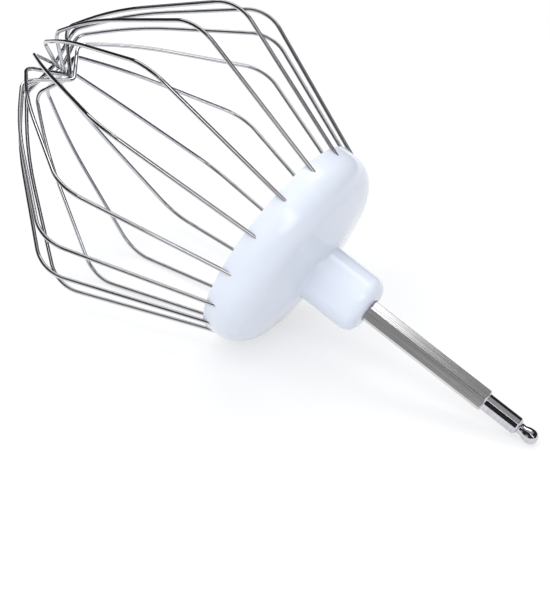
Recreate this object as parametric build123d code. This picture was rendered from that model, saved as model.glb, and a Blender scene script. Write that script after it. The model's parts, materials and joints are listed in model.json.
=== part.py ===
from build123d import *
import os
from math import cos, hypot, radians, sin, sqrt, tan

# Wire whisk for a stand mixer, in millimetres and degrees.
# Each piece is first made about the whisk's own axis: zero is the hub's flat wire side, heights grow along the
# drive shaft, and the wire cage lies below zero. The finished whisk is then laid down as it comes to rest, on two
# neighbouring legs of the cage and on the ball at the end of the shaft.

# Hub, one plastic moulding: a disc with a rounded shoulder, a sloped top and a sleeve for the shaft
hub_radius = 42.8
hub_wall_height = 15.5
hub_top_rise = 5.9
hub_height = 45.6
hub_edge_radius = 0.8
hub_shoulder_radius = 12.0
sleeve_radius = 11.8
sleeve_root_radius = 2.0
sleeve_end_radius = 5.0

# Drive shaft, one turned bar: hexagon, round journal, neck and ball
hex_across_flats = 8.0
hex_length = 54.5
hex_chamfer = 0.7
hex_turn = 41.0
shaft_floor = 6.0
journal_diameter = 7.0
journal_length = 15.0
journal_chamfer = 0.8
neck_diameter = 4.3
neck_length = 5.2
ball_diameter = 5.8

# Wire cage: bend points are where a wire's straight runs would meet if its bends were sharp
loop_count = 8
wire_diameter = 1.6
leg_entry_height = 2.5
leg_cover = 6.5
belly_point_radius = 68.0
belly_point_drop = 58.0
belly_bend_radius = 16.3
shoulder_point_radius = 34.7
shoulder_point_drop = 101.3
shoulder_bend_reach = 14.0
crown_point_radius = 16.0
crown_point_drop = 117.0
crown_bend_radius = 5.5
dip_bend_radius = 2.5
shallowest_dip = 0.6
dip_gap = 0.05

# Loops from the shallowest dip to the deepest, so that loops of nearly the same dip cross at a wide angle
dip_order = [4, 8, 3, 7, 2, 5, 1, 6]

# Turn of each loop away from even spacing: loops 7 and 8 are set a little askew
loop_turns = [0, 0, 0, 0, 0, 0, -2.9, -4.8]

leg_pitch = 360 / (2 * loop_count)
wire_radius = wire_diameter / 2


def make_hub_blank():
    # The hub before its wires and shaft are taken out: half its outline turned about the axis
    outline = FilletPolyline(
        (0, 0),
        (hub_radius, 0),
        (hub_radius, hub_wall_height),
        (sleeve_radius, hub_wall_height + hub_top_rise),
        (sleeve_radius, hub_height),
        (0, hub_height),
        radius=[hub_edge_radius, hub_shoulder_radius, sleeve_root_radius, sleeve_end_radius],
    )
    axis_line = Line((0, hub_height), (0, 0))
    return revolve(Plane.XZ * make_face(outline + axis_line), Axis.Z)


# Heights along the shaft
hex_end = hub_height + hex_length
journal_end = hex_end + journal_length
ball_height = journal_end + neck_length


def make_drive_shaft():
    # The hexagon is bevelled at its free end by a turned envelope that just holds its corners
    hexagon = RegularPolygon(hex_across_flats / 2, 6, major_radius=False, rotation=hex_turn)
    bar_length = hex_end - shaft_floor
    bar = Pos(0, 0, shaft_floor) * extrude(hexagon, bar_length)
    corner_radius = hex_across_flats / sqrt(3)
    envelope = Pos(0, 0, shaft_floor) * extrude(Circle(corner_radius), bar_length)
    envelope = chamfer(envelope.faces().sort_by(Axis.Z)[-1].edges(), hex_chamfer)
    journal = Pos(0, 0, hex_end) * extrude(Circle(journal_diameter / 2), journal_length)
    journal = chamfer(journal.faces().sort_by(Axis.Z)[-1].edges(), journal_chamfer)
    neck = Pos(0, 0, journal_end) * extrude(Circle(neck_diameter / 2), neck_length)
    ball = Pos(0, 0, ball_height) * Sphere(ball_diameter / 2)
    return (bar & envelope) + journal + neck + ball


def dip_point_rise(dip):
    # Rise of the sharp dip point above the crown points for which the rounded dip bottoms out at the given rise.
    # Rounding lifts the bottom by bend radius * (sqrt(1 + slope ** 2) - 1), which is solved here for the slope.
    rest = dip_bend_radius - dip
    square = crown_point_radius ** 2 - dip_bend_radius ** 2
    root = sqrt((crown_point_radius * rest) ** 2 - square * (rest ** 2 - dip_bend_radius ** 2))
    slope = (root - crown_point_radius * rest) / square
    return slope * crown_point_radius


def shoulder_bend_radius():
    # The shoulder bend takes the same length of both runs beside its point, so its radius follows from their turn
    before = Vector(belly_point_radius - shoulder_point_radius, shoulder_point_drop - belly_point_drop)
    after = Vector(shoulder_point_radius - crown_point_radius, crown_point_drop - shoulder_point_drop)
    return shoulder_bend_reach / tan(radians(before.get_angle(after) / 2))


def make_wire_loop(number):
    # One wire, bent in the plane of the whisk's axis: a leg down from the hub, over the belly and the shoulder to
    # the crown, into the dip on the axis, and the same way back on the far side
    dip = shallowest_dip + dip_order.index(number) * (wire_diameter + dip_gap)
    leg_slope = (belly_point_radius - hub_radius) / (leg_entry_height + belly_point_drop)
    end_height = hub_wall_height - leg_cover
    end_radius = hub_radius - leg_slope * (end_height - leg_entry_height)
    leg = [
        (end_radius, end_height),
        (belly_point_radius, -belly_point_drop),
        (shoulder_point_radius, -shoulder_point_drop),
        (crown_point_radius, -crown_point_drop),
    ]
    dip_point = (0, dip_point_rise(dip) - crown_point_drop)
    far_leg = [(-radius, height) for radius, height in reversed(leg)]
    bends = [belly_bend_radius, shoulder_bend_radius(), crown_bend_radius]
    path = Plane.XZ * FilletPolyline(
        *leg, dip_point, *far_leg, radius=[*bends, dip_bend_radius, *reversed(bends)]
    )
    wire = sweep(Plane(path @ 0, z_dir=path % 0) * Circle(wire_radius), path)
    return Rot(0, 0, (number - 1.5) * leg_pitch + loop_turns[number - 1]) * wire


def rest_tilt():
    # Slope of the axis at which the two lowest legs and the ball touch one flat floor, found by halving a range.
    # The belly bend is an arc about its own centre, in a plane half a pitch away from the vertical.
    to_hub = Vector(hub_radius - belly_point_radius, leg_entry_height + belly_point_drop).normalized()
    to_crown = Vector(
        shoulder_point_radius - belly_point_radius, belly_point_drop - shoulder_point_drop
    ).normalized()
    middle = (to_hub + to_crown).normalized()
    half_angle = radians(to_hub.get_angle(to_crown) / 2)
    belly_centre = Vector(belly_point_radius, -belly_point_drop) + middle * (belly_bend_radius / sin(half_angle))
    half_pitch = radians(leg_pitch / 2)
    low, high = 0, radians(60)
    for _ in range(50):
        tilt = (low + high) / 2
        across, along = cos(tilt) * cos(half_pitch), sin(tilt)
        belly_reach = (
            belly_centre.X * across + belly_centre.Y * along + belly_bend_radius * hypot(across, along) + wire_radius
        )
        ball_reach = ball_height * along + ball_diameter / 2
        if belly_reach > ball_reach:
            low = tilt
        else:
            high = tilt
    return tilt


drive_shaft = make_drive_shaft()
wire_loops = [make_wire_loop(number) for number in range(1, loop_count + 1)]

# The hub is moulded around its shaft and wires, so they leave their own shape in it
hub = make_hub_blank() - drive_shaft - wire_loops

pieces = {"hub": hub, "drive_shaft": drive_shaft}
for number, wire_loop in enumerate(wire_loops, 1):
    pieces[f"wire_loop_{number}"] = wire_loop

# Lay the whisk down with its shaft sloping to the floor along +X, over the middle of its own footprint
tilt = rest_tilt()
lying = Plane((0, 0, 0), x_dir=(sin(tilt), 0, cos(tilt)), z_dir=(cos(tilt), 0, -sin(tilt)))
laid = {name: lying.location * piece for name, piece in pieces.items()}
boxes = [piece.bounding_box() for piece in laid.values()]
middle_x = (min(box.min.X for box in boxes) + max(box.max.X for box in boxes)) / 2
middle_y = (min(box.min.Y for box in boxes) + max(box.max.Y for box in boxes)) / 2
floor_z = min(box.min.Z for box in boxes)
footprint = Pos(-middle_x, -middle_y, -floor_z)

os.makedirs("parts", exist_ok=True)
for name, piece in laid.items():
    export_step(footprint * piece, f"parts/{name}.step")
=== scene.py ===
import json
from math import asin, atan2, cos, pi, radians, sin, sqrt, tan

import bpy
import numpy as np
from mathutils import Matrix, Vector


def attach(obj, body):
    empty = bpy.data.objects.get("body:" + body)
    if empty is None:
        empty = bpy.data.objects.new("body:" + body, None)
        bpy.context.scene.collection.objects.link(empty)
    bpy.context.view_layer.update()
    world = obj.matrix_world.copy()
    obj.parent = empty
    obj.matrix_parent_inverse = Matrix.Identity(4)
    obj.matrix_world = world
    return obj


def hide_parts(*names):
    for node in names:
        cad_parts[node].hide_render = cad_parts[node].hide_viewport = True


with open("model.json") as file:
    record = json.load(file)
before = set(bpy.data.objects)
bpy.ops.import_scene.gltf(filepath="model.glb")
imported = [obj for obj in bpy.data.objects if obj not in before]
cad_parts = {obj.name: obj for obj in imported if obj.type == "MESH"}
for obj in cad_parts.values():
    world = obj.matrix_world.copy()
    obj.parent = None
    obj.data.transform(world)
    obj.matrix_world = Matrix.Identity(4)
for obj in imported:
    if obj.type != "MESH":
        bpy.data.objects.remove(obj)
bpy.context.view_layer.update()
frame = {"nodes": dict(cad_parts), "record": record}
print("frame loaded,", len(frame["nodes"]), "solids")

# Every size is in millimetres. Pieces are worked out in the whisk's own frame: heights run along the shaft,
# zero is the hub's flat wire side, and the wire cage lies below zero.
metre = 1000


def intoFrame(points):
    # From the whisk's own millimetres to the frame's metres, by the place and turn that are read further down
    return whiskZero + points @ whiskTurn / metre


def bentLine(corners, bends, stepDegrees=3.0, fewestPoints=3):
    # A line of straight runs with an arc at each inner corner, and its unit tangents. The arc's centre lies
    # on the corner's bisector, bend / sin(half the corner's angle) away, and the arc spans 180 degrees less
    # that angle.
    corners = np.array(corners, float)
    runs = np.diff(corners, axis=0)
    runs /= np.linalg.norm(runs, axis=1, keepdims=True)
    points, tangents = [corners[:1]], [runs[:1]]
    for corner, before, after, bend in zip(corners[1:-1], runs[:-1], runs[1:], bends):
        turn = atan2(before[0] * after[1] - before[1] * after[0], before @ after)
        sense = np.sign(turn)
        bisector = (after - before) / np.linalg.norm(after - before)
        centre = corner + bisector * bend / cos(turn / 2)
        start = atan2(before[1], before[0]) - sense * pi / 2
        pointCount = max(fewestPoints, int(abs(turn) / radians(stepDegrees)) + 2)
        angles = start + np.linspace(0, turn, pointCount)
        spokes = np.stack((np.cos(angles), np.sin(angles)), axis=1)
        points.append(centre + bend * spokes)
        tangents.append(sense * np.stack((-spokes[:, 1], spokes[:, 0]), axis=1))
    return np.concatenate((*points, corners[-1:])), np.concatenate((*tangents, runs[-1:]))


def skinPiece(name, rings, materials, bandOfRow=None, sharpDegrees=32.0):
    # A closed skin over a grid: one row per place along the piece, one column per place around it, and a fan
    # to the middle of the first and the last row. The UV map holds millimetres along the piece and round its
    # widest row.
    rows, columns = rings.shape[:2]
    steps = np.linalg.norm(np.diff(rings, axis=0), axis=2).mean(axis=1)
    reach = np.concatenate(([0], np.cumsum(steps)))
    sides = np.linalg.norm(np.roll(rings, -1, axis=1) - rings, axis=2)
    girth = np.concatenate(([0], np.cumsum(sides[sides.sum(axis=1).argmax()])))
    row, column = np.divmod(np.arange((rows - 1) * columns), columns)
    quadRows = row[:, None] + np.array((0, 0, 1, 1))
    quadColumns = column[:, None] + np.array((0, 1, 1, 0))
    quads = quadRows * columns + quadColumns % columns
    fanColumns = np.arange(columns)[:, None] + np.array((0, 0, 1))
    rim = fanColumns[:, 1:] % columns
    firstFan = np.concatenate((np.full((columns, 1), rows * columns), rim[:, ::-1]), axis=1)
    lastFan = np.concatenate((np.full((columns, 1), rows * columns + 1), rim + (rows - 1) * columns), axis=1)
    ends = np.stack((rings[0].mean(axis=0), rings[-1].mean(axis=0)))
    vertices = intoFrame(np.concatenate((rings.reshape(-1, 3), ends)))
    mesh = bpy.data.meshes.new(name)
    mesh.from_pydata(vertices.tolist(), [], quads.tolist() + firstFan.tolist() + lastFan.tolist())
    quadMap = np.stack((reach[quadRows], girth[quadColumns]), axis=-1)
    firstMap = np.stack((np.full(fanColumns.shape, reach[0]), girth[fanColumns[:, (0, 2, 1)]]), axis=-1)
    lastMap = np.stack((np.full(fanColumns.shape, reach[-1]), girth[fanColumns]), axis=-1)
    skinMap = np.concatenate([part.reshape(-1) for part in (quadMap, firstMap, lastMap)])
    mesh.uv_layers.new(name="skin").uv.foreach_set("vector", skinMap.astype(np.float32))
    for material in materials:
        mesh.materials.append(material)
    if bandOfRow is not None:
        fanBands = np.repeat(bandOfRow[[0, -1]], columns)
        bands = np.concatenate((bandOfRow[row], fanBands))
        mesh.polygons.foreach_set("material_index", bands.astype(np.int32))
    mesh.shade_smooth()
    mesh.set_sharp_from_angle(angle=radians(sharpDegrees))
    mesh.validate()
    piece = bpy.data.objects.new(name, mesh)
    bpy.context.scene.collection.objects.link(piece)
    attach(piece, "root")
    return piece


def turnedRings(outline, angles):
    # Each outline point (radius, height) turned about the axis
    spokes = np.stack((np.cos(angles), np.sin(angles)), axis=1)
    flat = outline[:, 0, None, None] * spokes
    heights = np.broadcast_to(outline[:, 1, None, None], (*flat.shape[:2], 1))
    return np.concatenate((flat, heights), axis=2)


def linearColour(code):
    # An sRGB hex colour as linear red, green, blue and full alpha, by the sRGB standard's own curve
    shares = np.array([int(code[place:place + 2], 16) for place in (1, 3, 5)]) / 255
    linear = np.where(shares <= 0.04045, shares / 12.92, ((shares + 0.055) / 1.055) ** 2.4)
    return (*linear.tolist(), 1.0)


def addNode(tree, kind, inputs=(), **settings):
    # One node: settings are its own properties, and inputs gives a socket a value or another node's output.
    # Sockets with shared names go by number: a colour mix has its share in 0, its colours in 6 and 7, and its
    # result in 2.
    node = tree.nodes.new(kind)
    for key, value in settings.items():
        setattr(node, key, value)
    for key, value in dict(inputs).items():
        if isinstance(value, bpy.types.NodeSocket):
            tree.links.new(value, node.inputs[key])
        else:
            node.inputs[key].default_value = value
    return node


def newMaterial(name):
    # An empty material with its tree
    material = bpy.data.materials.new(name)
    material.use_nodes = True
    material.node_tree.nodes.clear()
    return material, material.node_tree


# Hub plastic: white polypropylene with a cold tint, injection moulded in a polished tool. It gives a clear
# gloss with slow patches of duller skin and a very faint ripple.
plasticSettings = dict(
    colour="#E2E9F7", paleColour="#E8EEFB", roughness=(0.11, 0.17), index=1.49, haze=0.2, hazeReach=1.5,
    patch=16.0, patchDetail=3.0, patchLevels=(0.3, 0.7), ripple=11.0, rippleHeight=0.002,
)


def makeMouldedPolypropylene(finish):
    material, tree = newMaterial("mouldedPolypropylene")
    place = addNode(tree, "ShaderNodeTexCoord").outputs["Object"]
    patches = addNode(
        tree, "ShaderNodeTexNoise",
        {"Vector": place, "Scale": metre / finish["patch"], "Detail": finish["patchDetail"]},
    )
    tint = addNode(
        tree, "ShaderNodeMix",
        {0: patches.outputs["Fac"], 6: linearColour(finish["colour"]), 7: linearColour(finish["paleColour"])},
        data_type="RGBA",
    )
    gloss = addNode(
        tree, "ShaderNodeMapRange",
        {
            "Value": patches.outputs["Fac"],
            "From Min": finish["patchLevels"][0],
            "From Max": finish["patchLevels"][1],
            "To Min": finish["roughness"][0],
            "To Max": finish["roughness"][1],
        },
    )
    ripples = addNode(
        tree, "ShaderNodeTexNoise", {"Vector": place, "Scale": metre / finish["ripple"], "Detail": 0.0},
    )
    relief = addNode(
        tree, "ShaderNodeBump",
        {"Height": ripples.outputs["Fac"], "Distance": finish["rippleHeight"] / metre},
    )
    surface = addNode(
        tree, "ShaderNodeBsdfPrincipled",
        {
            "Base Color": tint.outputs[2],
            "Roughness": gloss.outputs["Result"],
            "Normal": relief.outputs["Normal"],
            "IOR": finish["index"],
            "Subsurface Weight": finish["haze"],
            "Subsurface Radius": (1.0, 1.0, 1.0),
            "Subsurface Scale": finish["hazeReach"] / metre,
        },
    )
    addNode(tree, "ShaderNodeOutputMaterial", {"Surface": surface.outputs["BSDF"]})
    return material


# Wire: stainless steel, cold drawn bright through a die. It mirrors its surroundings, with faint draw lines
# that run along the wire. The real lines are finer than a pixel, so they are drawn coarser here.
wireFinish = dict(
    colour="#D6D6D9", dullColour="#C4C4C8", roughness=(0.05, 0.10),
    lineWidth=0.4, lineLength=80.0, lineDepth=0.001, lineDetail=3.0, lineLevels=(0.35, 0.65),
)

# Hex drive: stainless bar, ground lengthwise on its flats, which gives fine bright and dull lines along it
hexFinish = dict(
    colour="#D6D5D5", dullColour="#A8A7A7", roughness=(0.14, 0.26),
    lineWidth=0.4, lineLength=50.0, lineDepth=0.001, lineDetail=3.0, lineLevels=(0.35, 0.65),
)

# Journal, neck and ball: the same bar turned and polished, which leaves a mirror with faint rings round it
turnedFinish = dict(
    colour="#D6D6DB", dullColour="#BEBEC5", roughness=(0.05, 0.10),
    lineWidth=30.0, lineLength=0.4, lineDepth=0.001, lineDetail=3.0, lineLevels=(0.35, 0.65),
)


def makeLinedSteel(name, finish):
    # Lines are noise drawn out along one direction of the skin's map, which is in millimetres
    material, tree = newMaterial(name)
    skinPlace = addNode(tree, "ShaderNodeUVMap", uv_map="skin").outputs["UV"]
    drawnOut = addNode(
        tree, "ShaderNodeMapping",
        {"Vector": skinPlace, "Scale": (1 / finish["lineLength"], 1 / finish["lineWidth"], 1.0)},
    )
    lines = addNode(
        tree, "ShaderNodeTexNoise",
        {"Vector": drawnOut.outputs["Vector"], "Scale": 1.0, "Detail": finish["lineDetail"]},
    )
    dullness = addNode(
        tree, "ShaderNodeMapRange",
        {
            "Value": lines.outputs["Fac"],
            "From Min": finish["lineLevels"][0],
            "From Max": finish["lineLevels"][1],
        },
    ).outputs["Result"]
    tint = addNode(
        tree, "ShaderNodeMix",
        {0: dullness, 6: linearColour(finish["colour"]), 7: linearColour(finish["dullColour"])},
        data_type="RGBA",
    )
    gloss = addNode(
        tree, "ShaderNodeMapRange",
        {"Value": dullness, "To Min": finish["roughness"][0], "To Max": finish["roughness"][1]},
    )
    relief = addNode(tree, "ShaderNodeBump", {"Height": dullness, "Distance": finish["lineDepth"] / metre})
    surface = addNode(
        tree, "ShaderNodeBsdfPrincipled",
        {
            "Base Color": tint.outputs[2],
            "Metallic": 1.0,
            "Roughness": gloss.outputs["Result"],
            "Normal": relief.outputs["Normal"],
        },
    )
    addNode(tree, "ShaderNodeOutputMaterial", {"Surface": surface.outputs["BSDF"]})
    return material


hubSettings = dict(
    radius=42.8, wallHeight=15.5, topRise=5.9, height=45.6, sleeveRadius=11.8,
    edgeBend=0.8, shoulderBend=12.0, sleeveRootBend=2.0, sleeveEndBend=5.0,
    mouthRadius=4.8, mouthDepth=0.35, mouthBend=0.15, mouthFloorBend=0.1, floorRadius=1.0, columns=192,
)


def makeHub(settings, material):
    # Half the hub's outline, from the middle of its flat side over the shoulder and up the sleeve to the
    # shallow mouth round the shaft, turned about the axis
    mouth, mouthFloor = settings["mouthRadius"], settings["height"] - settings["mouthDepth"]
    outline, _ = bentLine(
        [
            (mouth, 0),
            (settings["radius"], 0),
            (settings["radius"], settings["wallHeight"]),
            (settings["sleeveRadius"], settings["wallHeight"] + settings["topRise"]),
            (settings["sleeveRadius"], settings["height"]),
            (mouth, settings["height"]),
            (mouth, mouthFloor),
            (settings["floorRadius"], mouthFloor),
        ],
        [
            settings["edgeBend"], settings["shoulderBend"], settings["sleeveRootBend"],
            settings["sleeveEndBend"], settings["mouthBend"], settings["mouthFloorBend"],
        ],
    )
    angles = np.arange(settings["columns"]) * 2 * pi / settings["columns"]
    hub = skinPiece("hub_moulding", turnedRings(outline, angles), [material])
    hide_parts("hub")


shaftSettings = dict(
    acrossFlats=8.0, hexLength=54.5, hexBevel=0.7, hexTurn=41.0, cornerBend=0.3, hiddenEnd=6.0,
    flatInset=0.03, cornerColumns=6, journalRadius=3.5, journalLength=15.0, journalBevel=0.8, rootBend=0.1,
    bevelBend=0.25, neckRadius=2.15, neckLength=5.2, neckBend=0.6, ballRadius=2.9, ballBack=4.6,
    ballRows=28, turnedStep=12.0,
)


def hexSection(settings):
    # The hexagon's outline with rounded corners: each corner is an arc about a point on the smaller hexagon
    # that lies one corner radius inside, and each flat has a point close to either end and one in the middle
    half, bend = settings["acrossFlats"] / 2, settings["cornerBend"]
    corners = np.arange(6) * pi / 3 + radians(settings["hexTurn"])
    swing = np.linspace(-pi / 6, pi / 6, settings["cornerColumns"])
    middles = (half - bend) / cos(pi / 6) * np.stack((np.cos(corners), np.sin(corners)), axis=1)
    spokes = (corners[:, None] + swing)[..., None]
    arcs = middles[:, None] + bend * np.concatenate((np.cos(spokes), np.sin(spokes)), axis=2)
    share = np.array((settings["flatInset"], 0.5, 1 - settings["flatInset"]))[:, None]
    flats = arcs[:, -1:] * (1 - share) + np.roll(arcs, -1, axis=0)[:, :1] * share
    return np.concatenate((arcs, flats), axis=1).reshape(-1, 2)


def makeShaft(settings, materials):
    # The hexagon is bevelled by a cone, so each of its columns is cut back by as much as it stands out past
    # the cone's end. The journal, neck and ball are turned about the axis on the same columns.
    section = hexSection(settings)
    radii = np.linalg.norm(section, axis=1)
    angles = np.arctan2(section[:, 1], section[:, 0])
    hexEnd = hubSettings["height"] + settings["hexLength"]
    bevelRadius = settings["acrossFlats"] / sqrt(3) - settings["hexBevel"]
    start = np.column_stack((section, np.full(len(section), settings["hiddenEnd"])))
    bevelStart = np.column_stack((section, hexEnd - (radii - bevelRadius)))
    journalEnd = hexEnd + settings["journalLength"]
    ballMiddle = journalEnd + settings["neckLength"]
    neck, ball = settings["neckRadius"], settings["ballRadius"]
    # The ball's back half is drawn out towards the neck, as an ellipse that comes out of it
    ballStart = asin(neck / ball)
    neckEnd = ballMiddle - settings["ballBack"] * cos(ballStart)
    turned, _ = bentLine(
        [
            (bevelRadius, hexEnd),
            (settings["journalRadius"], hexEnd),
            (settings["journalRadius"], journalEnd - settings["journalBevel"]),
            (settings["journalRadius"] - settings["journalBevel"], journalEnd),
            (neck, journalEnd),
            (neck, neckEnd),
        ],
        [settings["rootBend"], settings["bevelBend"], settings["bevelBend"], settings["neckBend"]],
        stepDegrees=settings["turnedStep"],
    )
    tip = np.linspace(ballStart, pi, settings["ballRows"])[1:-1]
    tipReach = np.where(tip < pi / 2, settings["ballBack"], ball)
    tipLine = np.stack((ball * np.sin(tip), ballMiddle - tipReach * np.cos(tip)), axis=1)
    outline = np.concatenate((turned, tipLine))
    rings = np.concatenate((start[None], bevelStart[None], turnedRings(outline, angles)))
    # The ground flats lie between the first two rows, and everything after them is turned
    band = np.minimum(np.arange(len(rings)), 1)
    shaft = skinPiece("drive_shaft_bar", rings, materials, bandOfRow=band)
    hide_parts("drive_shaft")


wireSettings = dict(
    loops=8, diameter=1.6, entryHeight=2.5, cover=6.5,
    bellyPoint=(68.0, -58.0), bellyBend=16.3, shoulderPoint=(34.7, -101.3), shoulderReach=14.0,
    crownPoint=(16.0, -117.0), crownBend=5.5, dipBend=2.5, shallowestDip=0.6, dipGap=0.05,
    dipOrder=(4, 8, 3, 7, 2, 5, 1, 6), loopTurns=(0, 0, 0, 0, 0, 0, -2.9, -4.8), columns=24,
)


def dipPointRise(settings, dip):
    # Rise of the sharp dip point above the crown points for which the rounded dip bottoms out at the given
    # rise: rounding lifts the bottom by bend * (sqrt(1 + slope ** 2) - 1), which is solved here for the slope
    reach, bend = settings["crownPoint"][0], settings["dipBend"]
    rest = bend - dip
    square = reach ** 2 - bend ** 2
    slope = (sqrt((reach * rest) ** 2 - square * (rest ** 2 - bend ** 2)) - reach * rest) / square
    return slope * reach


def shoulderBend(settings):
    # The shoulder's arc takes the same length of both runs beside its point, so its radius is that length
    # divided by the tangent of half their turn
    points = np.array((settings["bellyPoint"], settings["shoulderPoint"], settings["crownPoint"]))
    before, after = np.diff(points, axis=0)
    turn = abs(atan2(before[0] * after[1] - before[1] * after[0], before @ after))
    return settings["shoulderReach"] / tan(turn / 2)


def makeWireLoop(settings, number, material):
    # One bent wire in a plane through the axis: a circle carried along the bent line, with the plane's normal
    # and the line's own normal as its two directions
    dipStep = settings["diameter"] + settings["dipGap"]
    dip = settings["shallowestDip"] + settings["dipOrder"].index(number) * dipStep
    belly, shoulder, crown = settings["bellyPoint"], settings["shoulderPoint"], settings["crownPoint"]
    legSlope = (belly[0] - hubSettings["radius"]) / (settings["entryHeight"] - belly[1])
    endHeight = hubSettings["wallHeight"] - settings["cover"]
    endRadius = hubSettings["radius"] - legSlope * (endHeight - settings["entryHeight"])
    leg = [(endRadius, endHeight), belly, shoulder, crown]
    farLeg = [(-radius, height) for radius, height in reversed(leg)]
    dipPoint = (0, crown[1] + dipPointRise(settings, dip))
    bends = [settings["bellyBend"], shoulderBend(settings), settings["crownBend"]]
    line, tangents = bentLine([*leg, dipPoint, *farLeg], [*bends, settings["dipBend"], *reversed(bends)])
    normals = np.stack((tangents[:, 1], -tangents[:, 0]), axis=1)
    angles = np.arange(settings["columns"]) * 2 * pi / settings["columns"]
    inPlane = line[:, None] + settings["diameter"] / 2 * np.cos(angles)[:, None] * normals[:, None]
    offPlane = np.broadcast_to(settings["diameter"] / 2 * np.sin(angles), inPlane.shape[:2])
    plane = (number - 1.5) * pi / settings["loops"] + radians(settings["loopTurns"][number - 1])
    rings = np.stack(
        (
            inPlane[..., 0] * cos(plane) + offPlane * sin(plane),
            inPlane[..., 0] * sin(plane) - offPlane * cos(plane),
            inPlane[..., 1],
        ),
        axis=-1,
    )
    loop = skinPiece(f"whisk_wire_{number}", rings, [material])
    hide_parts(f"wire_loop_{number}")


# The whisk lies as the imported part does: the ball's mount gives a point on its axis and the axis itself
ballMount = next(mount for mount in frame["record"]["mounts"] if mount["name"] == "ball_catch")
shaftRuns = ("hexLength", "journalLength", "neckLength")
ballHeight = hubSettings["height"] + sum(shaftSettings[run] for run in shaftRuns)
along = np.array(ballMount["axis"])
across = np.array((0.0, -1.0, 0.0))
whiskTurn = np.stack((np.cross(across, along), across, along))
whiskZero = np.array(ballMount["pos_m"]) - along * ballHeight / metre

hubPlastic = makeMouldedPolypropylene(plasticSettings)
drawnSteel = makeLinedSteel("brightDrawnStainless", wireFinish)
groundSteel = makeLinedSteel("lengthGroundStainless", hexFinish)
turnedSteel = makeLinedSteel("turnedPolishedStainless", turnedFinish)
print("materials made")

makeHub(hubSettings, hubPlastic)
makeShaft(shaftSettings, [groundSteel, turnedSteel])
for number in range(1, wireSettings["loops"] + 1):
    makeWireLoop(wireSettings, number, drawnSteel)
print("pieces made")

# Studio: a white floor, soft boxes and an even fill
cameraSettings = dict(
    aim=(8.80, -12.81, 27.67), distance=500.0, azimuth=29.31, elevation=33.16, roll=5.28,
    focalPixels=1323.5, pictureWidth=550, sensor=36.0, nearest=10.0,
)


def viewTurn(azimuth, elevation, roll):
    # Camera axes as columns: right, up and back, with azimuth 0 looking along +Y
    back = Vector((
        sin(radians(azimuth)) * cos(radians(elevation)),
        -cos(radians(azimuth)) * cos(radians(elevation)),
        sin(radians(elevation)),
    ))
    level = Vector((cos(radians(azimuth)), sin(radians(azimuth)), 0))
    upright = back.cross(level)
    right = level * cos(radians(roll)) + upright * sin(radians(roll))
    return Matrix((right, back.cross(right), back)).transposed()


def makeCamera(settings):
    data = bpy.data.cameras.new("photo_camera")
    data.sensor_fit = "HORIZONTAL"
    data.sensor_width = settings["sensor"]
    data.lens = settings["sensor"] * settings["focalPixels"] / settings["pictureWidth"]
    data.clip_start = settings["nearest"] / metre
    camera = bpy.data.objects.new("photo_camera", data)
    turn = viewTurn(settings["azimuth"], settings["elevation"], settings["roll"])
    place = (Vector(settings["aim"]) + turn.col[2] * settings["distance"]) / metre
    camera.matrix_world = Matrix.Translation(place) @ turn.to_4x4()
    bpy.context.scene.collection.objects.link(camera)
    bpy.context.scene.camera = camera


floorSettings = dict(
    left=-900, right=1200, front=-230, back=1500, colour="#E5E6E8", seenShare=0.48, seenGlow=0.60,
)


def makeFloor(settings):
    # The floor is pale card. What the camera and mirrors see of it is part card, which keeps the shadow, and
    # part plain white.
    left, right, front, back = (settings[side] / metre for side in ("left", "right", "front", "back"))
    corners = [(left, front, 0), (right, front, 0), (right, back, 0), (left, back, 0)]
    mesh = bpy.data.meshes.new("studio_floor")
    mesh.from_pydata(corners, [], [(0, 1, 2, 3)])
    material, tree = newMaterial("paleCard")
    ray = addNode(tree, "ShaderNodeLightPath")
    seenRay = addNode(
        tree, "ShaderNodeMath", {0: ray.outputs["Is Camera Ray"], 1: ray.outputs["Is Glossy Ray"]},
        operation="MAXIMUM",
    )
    clearRay = addNode(
        tree, "ShaderNodeMath", {0: seenRay.outputs["Value"], 1: ray.outputs["Is Transmission Ray"]},
        operation="MAXIMUM",
    )
    card = addNode(tree, "ShaderNodeBsdfDiffuse", {"Color": linearColour(settings["colour"])})
    seenColour = [share * settings["seenShare"] for share in linearColour(settings["colour"])[:3]]
    seenCard = addNode(tree, "ShaderNodeBsdfDiffuse", {"Color": (*seenColour, 1.0)})
    glow = addNode(tree, "ShaderNodeEmission", {"Color": (1, 1, 1, 1), "Strength": settings["seenGlow"]})
    seen = addNode(tree, "ShaderNodeAddShader", {0: seenCard.outputs["BSDF"], 1: glow.outputs["Emission"]})
    surface = addNode(
        tree, "ShaderNodeMixShader",
        {0: clearRay.outputs["Value"], 1: card.outputs["BSDF"], 2: seen.outputs["Shader"]},
    )
    addNode(tree, "ShaderNodeOutputMaterial", {"Surface": surface.outputs["Shader"]})
    mesh.materials.append(material)
    floor = bpy.data.objects.new("studio_floor", mesh)
    bpy.context.scene.collection.objects.link(floor)


worldSettings = dict(fill=0.56, mirrored=0.03, behind=1.0)


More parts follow.
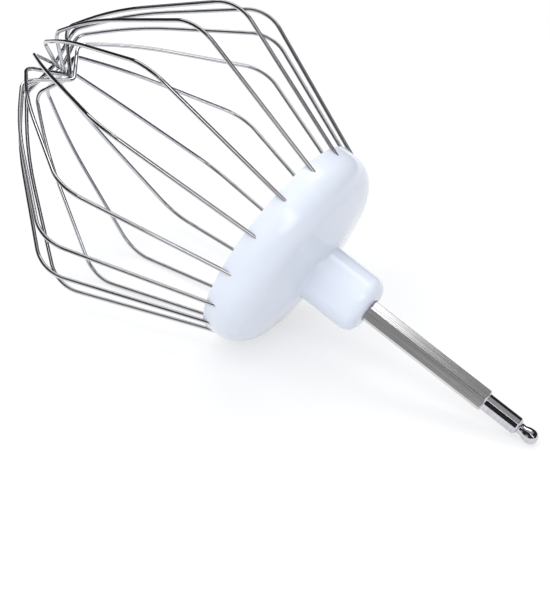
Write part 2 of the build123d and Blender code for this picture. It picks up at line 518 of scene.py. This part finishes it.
def makeWorld(settings):
    # Even fill for matt surfaces, plain white behind the part, and a dark room above the floor in mirrors
    world = bpy.data.worlds.new("studio")
    world.use_nodes = True
    tree = world.node_tree
    tree.nodes.clear()
    ray = addNode(tree, "ShaderNodeLightPath")
    fill, dark, white = (
        addNode(tree, "ShaderNodeBackground", {"Color": (1, 1, 1, 1), "Strength": settings[use]})
        for use in ("fill", "mirrored", "behind")
    )
    mirrored = addNode(
        tree, "ShaderNodeMixShader",
        {0: ray.outputs["Is Glossy Ray"], 1: fill.outputs["Background"], 2: dark.outputs["Background"]},
    )
    shown = addNode(
        tree, "ShaderNodeMixShader",
        {0: ray.outputs["Is Camera Ray"], 1: mirrored.outputs["Shader"], 2: white.outputs["Background"]},
    )
    addNode(tree, "ShaderNodeOutputWorld", {"Surface": shown.outputs["Shader"]})
    bpy.context.scene.world = world


# Soft boxes: lean turns a box about X and swing then turns it about the upright, both in degrees. Each lights
# matt surfaces, shows in mirrors, or does both. The front strip's left end is kept out of mirrors, so that
# the sleeve shows a single bright band.
lampSettings = dict(
    ceiling=dict(
        place=(-300, 150, 1000), size=(1800, 1000), lean=0, swing=0,
        radiance=0.4, matt=True, mirrored=True,
    ),
    backBox=dict(
        place=(-425, 470, 1000), size=(1390, 350), lean=-25, swing=0,
        radiance=2.3, matt=True, mirrored=True,
    ),
    frontStrip=dict(
        place=(1230, -480, 950), size=(1940, 170), lean=27, swing=0,
        radiance=3.0, matt=True, mirrored=True,
    ),
    stripEnd=dict(
        place=(-120, -480, 950), size=(760, 170), lean=27, swing=0,
        radiance=3.0, matt=True, mirrored=False,
    ),
    sideStrip=dict(
        place=(1350, -660, 770), size=(1500, 430), lean=42, swing=0,
        radiance=2.4, matt=False, mirrored=True,
    ),
    frontCard=dict(
        place=(-110, -900, 50), size=(340, 600), lean=90, swing=0,
        radiance=0.36, matt=False, mirrored=True,
    ),
    frontFill=dict(
        place=(-150, -850, 700), size=(900, 900), lean=53, swing=-10,
        radiance=1.6, matt=True, mirrored=False,
    ),
)


def makeLamp(name, settings):
    # A soft box of the given radiance, where 1 is white: its power is radiance * pi * area
    width, depth = (side / metre for side in settings["size"])
    data = bpy.data.lights.new(name, "AREA")
    data.shape = "RECTANGLE"
    data.size = width
    data.size_y = depth
    data.energy = settings["radiance"] * pi * width * depth
    lamp = bpy.data.objects.new(name, data)
    lean = Matrix.Rotation(radians(settings["lean"]), 4, "X")
    swing = Matrix.Rotation(radians(settings["swing"]), 4, "Z")
    lamp.matrix_world = Matrix.Translation(Vector(settings["place"]) / metre) @ (swing @ lean)
    lamp.visible_camera = False
    lamp.visible_diffuse = settings["matt"]
    lamp.visible_glossy = settings["mirrored"]
    bpy.context.scene.collection.objects.link(lamp)


makeCamera(cameraSettings)
makeFloor(floorSettings)
makeWorld(worldSettings)
for name, settings in lampSettings.items():
    makeLamp(name, settings)
bpy.context.scene.view_settings.view_transform = "Standard"
print("studio made")
